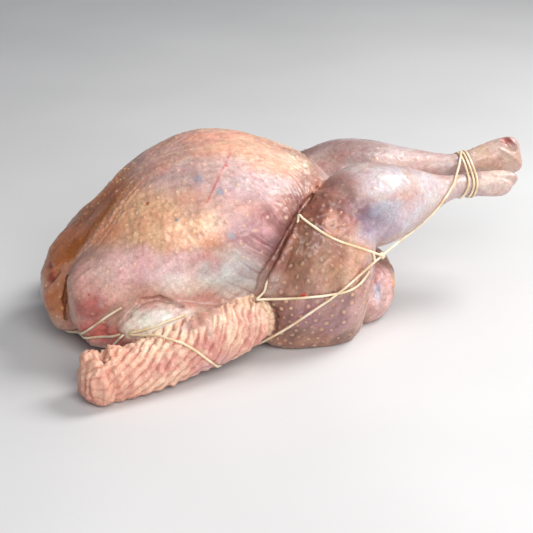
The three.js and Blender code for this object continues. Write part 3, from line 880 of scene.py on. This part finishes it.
# Patches of colour: centre, half sizes, colour and strength. Those of BOTH_SIDES have y counted
# outwards and are alike on the two sides.
BOTH_SIDES = (
    ((0.010, 0.028, 0.166), (0.080, 0.028, 0.018), "DAA88C", 0.75),
    ((-0.060, 0.048, 0.158), (0.060, 0.022, 0.020), "BFA4A1", 0.80),
    ((0.000, 0.064, 0.148), (0.050, 0.020, 0.018), "BEA2A4", 0.80),
    ((-0.096, 0.062, 0.126), (0.050, 0.036, 0.026), "DEAB86", 0.90),
    ((-0.064, 0.083, 0.122), (0.028, 0.024, 0.016), "F1BE9A", 0.85),
    ((-0.056, 0.090, 0.110), (0.016, 0.018, 0.011), "CD9376", 0.65),
    ((-0.122, 0.030, 0.116), (0.032, 0.026, 0.042), "E89F75", 0.75),
    ((-0.006, 0.089, 0.117), (0.033, 0.027, 0.023), "B07C80", 0.90),
    # Painted shade in the crease in front of the thigh.
    ((0.010, 0.091, 0.104), (0.018, 0.018, 0.018), "663F46", 0.80),
    ((-0.104, 0.078, 0.094), (0.036, 0.024, 0.017), "E5B6B2", 0.85),
    ((-0.070, 0.090, 0.096), (0.024, 0.018, 0.014), "D7ADA9", 0.75),
    ((-0.056, 0.094, 0.094), (0.015, 0.016, 0.013), "CB837F", 0.65),
    ((-0.078, 0.088, 0.080), (0.030, 0.018, 0.012), "ECD8CA", 0.65),
    ((-0.032, 0.096, 0.088), (0.030, 0.026, 0.022), "BFB8B1", 0.90),
    ((-0.012, 0.098, 0.074), (0.020, 0.018, 0.018), "A59892", 0.75),
    ((-0.140, 0.066, 0.078), (0.028, 0.026, 0.024), "D6A69C", 0.80),
    ((-0.153, 0.070, 0.056), (0.018, 0.020, 0.014), "AF5950", 0.80),
    ((-0.140, 0.072, 0.032), (0.028, 0.030, 0.014), "DC7468", 0.90),
    # Partly the drumette's own pale skin, partly a painted highlight.
    ((-0.098, 0.100, 0.050), (0.034, 0.024, 0.015), "E4DED4", 0.95),
    ((0.040, 0.078, 0.126), (0.026, 0.032, 0.026), "6E3830", 0.80),
    ((0.022, 0.098, 0.092), (0.018, 0.020, 0.040), "7A4E34", 0.80),
    ((0.052, 0.101, 0.084), (0.026, 0.020, 0.016), "A37359", 0.80),
    ((0.078, 0.098, 0.096), (0.016, 0.016, 0.020), "DFB097", 0.75),
    ((0.090, 0.094, 0.074), (0.010, 0.014, 0.022), "C8ACA9", 0.70),
    ((0.046, 0.103, 0.036), (0.050, 0.026, 0.022), "986E75", 0.80),
    ((0.084, 0.092, 0.040), (0.018, 0.022, 0.030), "CEA49C", 0.60),
    ((0.084, 0.084, 0.127), (0.017, 0.016, 0.013), "704C59", 0.72),
    ((0.108, 0.082, 0.122), (0.021, 0.018, 0.014), "A4A6B6", 0.70),
    # Partly the leg's own lilac tone, partly a painted highlight.
    ((0.112, 0.066, 0.144), (0.034, 0.022, 0.012), "C4C2C9", 0.80),
    ((0.104, 0.080, 0.106), (0.034, 0.020, 0.012), "B29EAB", 0.80),
    ((0.064, 0.064, 0.144), (0.024, 0.026, 0.016), "885C52", 0.75),
    # Partly the leg's own lilac tone, partly a painted highlight.
    ((0.160, 0.042, 0.124), (0.034, 0.024, 0.018), "CFC4C6", 0.80),
    ((0.070, 0.083, 0.127), (0.009, 0.012, 0.011), "7A3226", 0.80),
    ((0.046, 0.022, 0.154), (0.022, 0.020, 0.010), "DCC5AB", 0.70),
    ((0.083, 0.085, 0.125), (0.010, 0.012, 0.009), "7E5E6C", 0.65),
    ((0.091, 0.088, 0.115), (0.017, 0.014, 0.010), "8C7282", 0.65),
    ((-0.108, 0.046, 0.128), (0.030, 0.022, 0.022), "E6AE88", 0.55),
    ((0.056, 0.101, 0.082), (0.022, 0.018, 0.020), "B48468", 0.55),
    ((0.135, 0.068, 0.118), (0.030, 0.024, 0.018), "C6BEC6", 0.65),
    ((0.078, 0.081, 0.132), (0.010, 0.012, 0.012), "916564", 0.70),
    ((0.071, 0.089, 0.117), (0.010, 0.012, 0.009), "B68073", 0.60),
    ((0.056, 0.090, 0.117), (0.009, 0.014, 0.018), "C68E78", 0.75),
    ((0.033, 0.083, 0.119), (0.010, 0.014, 0.016), "885C47", 0.65),
    ((0.041, 0.102, 0.079), (0.009, 0.014, 0.016), "B8927E", 0.60),
    ((0.068, 0.102, 0.075), (0.009, 0.014, 0.018), "D3A791", 0.65),
    # The next two patches are painted shade on the thigh beside the elbow.
    ((0.009, 0.098, 0.040), (0.012, 0.014, 0.020), "7B5046", 0.70),
    ((0.021, 0.095, 0.020), (0.016, 0.016, 0.012), "7F5E54", 0.65),
    ((0.052, 0.104, 0.045), (0.014, 0.014, 0.014), "B0897E", 0.65),
    ((0.069, 0.090, 0.008), (0.018, 0.018, 0.010), "80615A", 0.65),
    ((0.099, 0.057, 0.012), (0.014, 0.018, 0.012), "BF9A93", 0.60),
    ((-0.005, 0.090, 0.116), (0.012, 0.014, 0.012), "C1989B", 0.50),
)
ONE_SIDE = (
    ((-0.172, -0.022, 0.044), (0.020, 0.022, 0.032), "AC6838", 0.90),
    ((-0.170, 0.016, 0.076), (0.030, 0.040, 0.034), "C0703C", 0.80),
    ((-0.156, -0.012, 0.088), (0.020, 0.010, 0.024), "98500F", 0.90),
    # Partly the skin's own ochre, partly painted shade on the far side of the breast bone, which
    # is turned from the light.
    ((-0.135, 0.020, 0.110), (0.030, 0.026, 0.036), "96502C", 0.70),
    ((-0.181, -0.013, 0.062), (0.007, 0.005, 0.008), "8A2A1C", 0.95),
    ((-0.180, -0.003, 0.071), (0.005, 0.007, 0.003), "8A2E20", 0.90),
    ((-0.012, 0.002, 0.180), (0.075, 0.016, 0.010), "E6AB93", 0.80),
    ((0.116, -0.046, 0.032), (0.022, 0.026, 0.030), "DEB4B2", 0.90),
    ((0.112, -0.052, 0.032), (0.004, 0.008, 0.012), "B8B6C7", 0.80),
    ((0.133, -0.046, 0.030), (0.005, 0.016, 0.028), "E6A468", 0.70),
    ((0.246, 0.014, 0.128), (0.030, 0.022, 0.020), "C4A38A", 0.85),
    ((0.258, 0.010, 0.1435), (0.005, 0.007, 0.004), "A8544A", 0.75),
    ((0.256, -0.014, 0.117), (0.007, 0.009, 0.007), "D9745A", 0.85),
    ((0.235, -0.018, 0.116), (0.018, 0.014, 0.012), "E3C9B9", 0.80),
    ((0.110, 0.030, 0.140), (0.040, 0.030, 0.014), "896A67", 0.75),
    ((0.094, 0.010, 0.143), (0.016, 0.016, 0.008), "A7675A", 0.60),
)

# Single marks: centre, size and colour.
MARKS = (
    ((-0.054, -0.054, 0.159), 0.0046, "9A8F98"),
    ((-0.039, -0.069, 0.151), 0.0032, "9695A2"),
    ((-0.034, -0.090, 0.119), 0.0044, "A59AA2"),
    ((-0.078, -0.073, 0.131), 0.0022, "94908A"),
    ((-0.097, -0.049, 0.138), 0.0024, "A03A10"),
    ((-0.154, -0.067, 0.068), 0.0018, "8C2018"),
    ((0.026, -0.103, 0.061), 0.0028, "C03828"),
    ((-0.028, -0.048, 0.166), 0.0016, "C04840"),
    # Painted shadow in the crook of the near thigh under the knot.
    ((0.096, -0.090, 0.082), 0.0042, "5A3A20"),
    ((0.057, -0.043, 0.136), 0.0050, "B0745F"),
)

# Lines of colour: points, half width, colour and strength.
TINTED_LINES = (
    (((-0.020, -0.033, 0.172), (-0.025, -0.042, 0.170), (-0.029, -0.048, 0.167),
      (-0.040, -0.062, 0.157), (-0.051, -0.073, 0.144)), 0.0008, "C23A3A", 0.75),
    # Painted highlight: a pale streak down the front of the near lobe.
    (((-0.138, -0.060, 0.088), (-0.141, -0.070, 0.074), (-0.144, -0.072, 0.060)),
     0.0034, "DCC4BE", 0.7),
    (((0.104, 0.004, 0.140), (0.120, 0.002, 0.138), (0.150, 0.004, 0.134)), 0.0022, "B86A5E", 0.6),
    (((-0.120, -0.013, 0.130), (-0.140, -0.014, 0.106), (-0.153, -0.016, 0.088),
      (-0.162, -0.019, 0.073)), 0.0065, "93500F", 0.85),
    (LOBE_EDGE, 0.0020, "7A4836", 0.6),
    # Painted shade: a cool grey strip just inside the near lobe's edge.
    (((-0.160, -0.028, 0.076), (-0.166, -0.034, 0.062), (-0.168, -0.037, 0.048),
      (-0.168, -0.038, 0.034)), 0.0024, "B8AAB0", 0.55),
    (NECK_FOLD, 0.0016, "7E3A22", 0.8),
    # Painted shadow along the groove at the pad's edge.
    (PAD_EDGE, 0.0020, "5A241A", 0.75),
    (((-0.153, -0.112, 0.046), (-0.155, -0.138, 0.036)), 0.0022, "5A2A20", 0.8),
)

BASE, RIB_CREST, RIB_GROOVE = tone("C89A8C"), tone("EFCBAE"), tone("AC6054")
LEG_BASE, THIGH_BASE, WING_PINK = tone("BFA29C"), tone("A47868"), tone("CE8A80")
CREAM_DOT, YELLOW_DOT = tone("F2D8B8"), tone("EBB070")
# The first two colours on the next line are painted shade, in the crease in front of the thigh and
# on the breast beside it.
SHADE_IN_CREASE, CREASE_SHADE, CREASE_RIM = tone("2E110D"), tone("633029"), tone("B2705A")
NECK_BROWN, WRIST_BROWN, RIM_SHADE = tone("B87450"), tone("CB8670"), tone("4E251C")
WING_LILAC, WING_BEAD, RIM_BEAD = tone("CFA6A4"), tone("F2D6BA"), tone("F4DCB8")
FAN_SHADE = tone("7A4A44")


def blend(colours, wanted, share):
    return colours + (wanted - colours) * np.clip(share, 0.0, 1.0)[:, None]


def wing_colours(places):
    points = places.points
    high = smooth(0.35, 1.10, places.wing_turn)
    pinkness = 0.55 * (1.0 - high) + 0.5 * noise(points, 0.014, 61)
    crest = blend(np.tile(RIB_CREST, (len(points), 1)), WING_PINK, pinkness)
    low = wing_smoothness(places) * smooth(0.030, 0.050, places.wing_along)
    crest = blend(crest, WING_LILAC, 0.9 * low)
    groove = np.tile(RIB_GROOVE, (len(points), 1))
    beads = smooth(0.15, 0.55, noise(points, 0.0042, 62))
    wing = blend(groove, crest, smooth(-0.1, 0.8, wing_ribs(places)))
    wing = blend(wing, WING_BEAD, 0.40 * beads)
    rim = bell(places.past_rim + 0.0035, 0.0030) * smooth(-0.5, 0.3, beads)
    wing = blend(wing, RIM_BEAD, 0.65 * rim)
    wrist = smooth(0.060, 0.016, places.from_wrist + 0.012 * noise(points, 0.012, 63))
    return blend(wing, WRIST_BROWN, 0.50 * wrist)


# The shade in front of the crease is widest where the breast stands out over it.
SHADE_WIDTH, SHADE_SWELL, SHADE_HEIGHT, SHADE_SPAN = 0.0042, 0.0088, 0.104, 0.017
RIM_WIDTH, FOLD_WIDTH, FOLD_NARROWING = 0.008, 0.0032, 0.0014


def crease_colours(colours, places):
    """Painted shade in the fold in front of the thigh, with the painted shade on the breast and
    the rim on the thigh beside it.
    """
    off = places.crease_off
    height = places.points[:, 2]
    width = SHADE_WIDTH + SHADE_SWELL * bell(height - SHADE_HEIGHT, SHADE_SPAN)
    colours = blend(colours, CREASE_SHADE, 0.88 * bell(off, width) * places.breast)
    colours = blend(colours, CREASE_RIM, 0.60 * bell(off, RIM_WIDTH) * places.thigh)
    width = FOLD_WIDTH - FOLD_NARROWING * smooth(0.124, 0.132, height)
    return blend(colours, SHADE_IN_CREASE, 0.97 * bell(off, width))


def neck_share(points):
    """1 on the skin between the folds of the breast bone, from the breast down the neck."""
    share = smooth(0.022, 0.014, np.abs(points[:, 1])) * smooth(-0.090, -0.115, points[:, 0])
    return share * smooth(0.050, 0.072, points[:, 2] + 0.004 * noise(points, 0.012, 64))


def with_patches(colours, points, patches, seed):
    for number, (centre, radii, code, strength) in enumerate(patches):
        share = strength * spot(points, centre, radii, seed + number)
        colours = blend(colours, tone(code), share)
    return colours


def with_grain(colours, places):
    grain = skin_streaks(places) * (1.0 - 0.6 * places.leg) + 0.9 * thigh_streaks(places)
    return colours * (1.0 + 0.16 * grain)[:, None]


def with_bumps(colours, places, bumps, rims, yellow):
    """Light bumps, each with a darker rim, which are fainter on the leg and the tail."""
    dots = CREAM_DOT + (YELLOW_DOT - CREAM_DOT) * yellow[:, None]
    plucked = np.maximum(places.thigh, rough_part(places))
    colours = colours * (1.0 - 0.22 * rims * plucked)[:, None]
    upper = places.thigh * smooth(0.050, 0.070, places.points[:, 2])
    faint = (1.0 - 0.45 * places.leg) * (1.0 - 0.62 * upper) * (1.0 - 0.8 * places.tail)
    share = np.clip(bumps * faint * (1.0 - 0.25 * places.thigh), 0.0, 0.55)
    return blend(colours, dots, share)


def with_lines(colours, places):
    """The shadow beside the elbow's rim, and single lines."""
    beside = smooth(-0.0005, 0.0010, places.past_rim)
    rim = beside * bell(along_path(places.outward, ELBOW_RIM)[1], 0.0034)
    colours = blend(colours, RIM_SHADE, 0.8 * rim)
    for path, width, code, strength in TINTED_LINES:
        near = bell(along_path(places.points, path)[1], width)
        colours = blend(colours, tone(code), strength * near)
    return colours


def colours_of(places, bumps, rims, yellow):
    points = places.points
    colours = np.tile(BASE, (len(points), 1))
    colours = blend(colours, LEG_BASE, places.leg)
    colours = blend(colours, THIGH_BASE, places.thigh)
    colours = with_patches(colours, places.outward, BOTH_SIDES, 100)
    colours = blend(colours, NECK_BROWN, 0.85 * neck_share(points))
    colours = with_patches(colours, points, ONE_SIDE, 200)
    colours = with_grain(mottled(colours, points), places)
    colours = crease_colours(colours, places)
    colours = blend(colours, FAN_SHADE, -0.55 * np.minimum(crease_fan(places), 0.0))
    colours = with_bumps(colours, places, bumps, rims, yellow)
    colours = blend(colours, wing_colours(places), places.wing)
    colours = with_lines(colours, places)
    marks = [(centre, (size,) * 3, code, 0.9) for centre, size, code in MARKS]
    return np.clip(with_patches(colours, points, marks, 300), 0.0, 1.0)


def mottled(colours, points):
    """Uneven blood and fat under the skin."""
    warm = noise(points, 0.022, 71)
    red = noise(points, 0.008, 72)
    pale = noise(points, 0.0045, 73)
    fine = noise(points, 0.0022, 74)
    factor = np.stack([
        1.0 + 0.06 * pale + 0.10 * fine,
        1.0 - 0.10 * warm - 0.10 * red + 0.08 * pale + 0.15 * fine,
        1.0 - 0.16 * warm - 0.06 * red + 0.08 * pale + 0.17 * fine,
    ], axis=1)
    return colours * factor


def dryness_of(places):
    """1 where the skin shines least: over the breast bone and about the wings."""
    top = spot(places.outward, (0.004, 0.040, 0.160), (0.075, 0.060, 0.030), 65)
    return np.maximum(top, 0.6 * places.wing)


def paint(mesh, colours, dryness):
    attribute = mesh.color_attributes.new("skin_colour", "FLOAT_COLOR", "POINT")
    values = np.hstack([colours, dryness[:, None]]).astype(np.float32)
    attribute.data.foreach_set("color", values.ravel())


# ------------------------------------------------------------------ materials


class Nodes:
    """A short way to write a material's nodes."""

    def __init__(self, name):
        self.material = bpy.data.materials.new(name)
        self.material.use_nodes = True
        self.tree = self.material.node_tree
        self.shader = self.tree.nodes["Principled BSDF"]

    def add(self, kind, inputs=None, **settings):
        node = self.tree.nodes.new(kind)
        for key, value in settings.items():
            setattr(node, key, value)
        for key, value in (inputs or {}).items():
            if isinstance(value, bpy.types.NodeSocket):
                self.tree.links.new(value, node.inputs[key])
            else:
                node.inputs[key].default_value = value
        return node

    def noise(self, scale, detail=3.0, roughness=0.55):
        place = self.add("ShaderNodeTexCoord").outputs["Object"]
        inputs = {"Vector": place, "Scale": scale, "Detail": detail, "Roughness": roughness}
        return self.add("ShaderNodeTexNoise", inputs).outputs["Fac"]

    def spread(self, value, low, high, to_low, to_high):
        inputs = {"Value": value, "From Min": low, "From Max": high}
        inputs.update({"To Min": to_low, "To Max": to_high})
        return self.add("ShaderNodeMapRange", inputs).outputs["Result"]

    def math(self, operation, first, second):
        node = self.add("ShaderNodeMath", {0: first, 1: second}, operation=operation)
        return node.outputs[0]

    def set(self, **values):
        for key, value in values.items():
            socket = self.shader.inputs[key.replace("_", " ")]
            if isinstance(value, bpy.types.NodeSocket):
                self.tree.links.new(value, socket)
            else:
                socket.default_value = value

    def bump(self, height, strength, distance):
        inputs = {"Height": height, "Strength": strength, "Distance": distance}
        return self.add("ShaderNodeBump", inputs).outputs["Normal"]


def skin_material():
    nodes = Nodes("raw_skin")
    attribute = nodes.add("ShaderNodeAttribute", attribute_name="skin_colour")
    painted, dryness = attribute.outputs["Color"], attribute.outputs["Alpha"]
    speckle = nodes.spread(nodes.noise(800.0, 2.0), 0.35, 0.65, 0.86, 1.11)
    mixed = nodes.add(
        "ShaderNodeVectorMath", {0: painted, 1: speckle}, operation="MULTIPLY"
    ).outputs["Vector"]
    uneven = nodes.spread(nodes.noise(60.0, 3.0), 0.35, 0.65, 0.30, 0.48)
    roughness = nodes.math("ADD", uneven, nodes.math("MULTIPLY", dryness, 0.12))
    fine = nodes.noise(1100.0, 3.0)
    pores = nodes.noise(420.0, 2.0)
    height = nodes.math("ADD", nodes.math("MULTIPLY", fine, 0.5), pores)
    nodes.set(
        Base_Color=mixed,
        Roughness=roughness,
        Subsurface_Weight=0.14,
        Subsurface_Radius=(1.0, 0.32, 0.20),
        Subsurface_Scale=0.006,
        Coat_Weight=0.18,
        Coat_Roughness=0.22,
        Normal=nodes.bump(height, 0.50, 0.0003),
    )
    return nodes.material


def twine_material():
    nodes = Nodes("cotton_twine")
    fibres = nodes.noise(1400.0, 2.0)
    soiled = nodes.noise(70.0, 2.0)
    ramp = nodes.add("ShaderNodeValToRGB", {"Fac": soiled})
    ramp.color_ramp.elements[0].position = 0.35
    ramp.color_ramp.elements[0].color = (*tone("D9BE94"), 1.0)
    ramp.color_ramp.elements[1].position = 0.65
    ramp.color_ramp.elements[1].color = (*tone("F2E6CC"), 1.0)
    nodes.set(
        Base_Color=ramp.outputs["Color"],
        Roughness=0.75,
        Sheen_Weight=0.25,
        Normal=nodes.bump(fibres, 0.5, 0.0003),
    )
    return nodes.material


# ------------------------------------------------------------------ the whole


def make_bird():
    points, faces = bird_mesh(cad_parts["turkey"])
    skin = new_object("turkey_skin", points, faces)
    places = Places(points - ORIGIN)
    chosen = follicles(places)
    bumps, rims, yellow = follicle_bumps(places, chosen)
    points = points + normals_of(skin.data) * relief(places, bumps)[:, None]
    polygons = [tuple(map(int, face)) for face in faces]
    surface = BVHTree.FromPolygons((points - ORIGIN).tolist(), polygons)
    legs, wings = leg_routes(surface), wing_routes(surface)
    dents = pressed_in(points - ORIGIN, [*legs, *wings])
    points += normals_of(skin.data) * dents[:, None]
    points[:, 2] = np.maximum(points[:, 2], 0.0)
    move_to(skin.data, points)
    paint(skin.data, colours_of(places, bumps, rims, yellow), dryness_of(places))
    skin.data.materials.append(skin_material())
    return skin, legs, wings


def dress(piece, node):
    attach(piece, "root")
    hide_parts(node)


AZIMUTH, ELEVATION, DISTANCE = math.radians(-15), math.radians(24), 1.2876
TARGET = Vector(ORIGIN) + Vector((0.0, -0.0766, 0.0805))
SENSOR = 36.0  # mm
PHOTO_WIDTH, FOCAL_LENGTH = 533, 1480  # pixels

# Lights: name, direction from the bird, distance, size, power and colour.
LIGHTS = (
    ("key", (0.66, 0.06, 0.74), 1.5, 0.80, 22.0, (1.0, 0.98, 0.96)),
    ("fill", (0.05, -0.90, 0.62), 1.8, 1.30, 27.0, (1.0, 0.98, 0.97)),
)
LIT_POINT = Vector((-0.02, 0.0, 0.08))
SKY, SKY_STRENGTH = (0.84, 0.89, 0.96, 1.0), 0.26
FLOOR_HALF, FLOOR_CORNERS = 6.0, ((-1, -1), (1, -1), (1, 1), (-1, 1))


def towards(azimuth, elevation):
    """The direction from the bird to the camera."""
    level = math.cos(elevation)
    return Vector((math.sin(azimuth) * level, -math.cos(azimuth) * level, math.sin(elevation)))


def make_camera():
    data = bpy.data.cameras.new("camera")
    data.lens = SENSOR * FOCAL_LENGTH / PHOTO_WIDTH
    camera = bpy.data.objects.new("camera", data)
    bpy.context.scene.collection.objects.link(camera)
    back = towards(AZIMUTH, ELEVATION)
    camera.location = TARGET + back * DISTANCE
    camera.rotation_euler = (-back).to_track_quat("-Z", "Y").to_euler()
    bpy.context.scene.camera = camera


def make_light(name, direction, distance, size, watts, colour):
    data = bpy.data.lights.new(name, "AREA")
    data.shape = "DISK"
    data.size = size
    data.energy = watts
    data.color = colour
    lamp = bpy.data.objects.new(name, data)
    bpy.context.scene.collection.objects.link(lamp)
    away = Vector(direction).normalized()
    lamp.location = LIT_POINT + away * distance
    lamp.rotation_euler = (-away).to_track_quat("-Z", "Y").to_euler()


def make_stage():
    nodes = Nodes("pale_floor")
    shade = nodes.spread(nodes.noise(3.0, 2.0), 0.3, 0.7, 0.62, 0.68)
    pale = nodes.add("ShaderNodeCombineColor", {"Red": shade, "Green": shade, "Blue": shade})
    nodes.set(Base_Color=pale.outputs["Color"], Roughness=0.6)
    corners = [(x * FLOOR_HALF, y * FLOOR_HALF, 0.0) for x, y in FLOOR_CORNERS]
    floor = new_object("floor", corners, [(0, 1, 2, 3)])
    floor.data.materials.append(nodes.material)
    world = bpy.data.worlds.new("studio")
    world.use_nodes = True
    background = world.node_tree.nodes["Background"]
    background.inputs["Color"].default_value = SKY
    background.inputs["Strength"].default_value = SKY_STRENGTH
    bpy.context.scene.world = world


make_camera()
make_stage()
for light in LIGHTS:
    make_light(*light)
bpy.context.scene.view_settings.view_transform = "Standard"

bird, leg_strands, wing_strands = make_bird()
dress(bird, "turkey")
twine = twine_material()
for piece_name, strands, cad_node, first_seed in (
    ("leg_twine", leg_strands, "twine_legs", 400),
    ("wing_twine", wing_strands, "twine_wings", 450),
):
    piece = twine_object(piece_name, strands, first_seed)
    piece.data.materials.append(twine)
    dress(piece, cad_node)
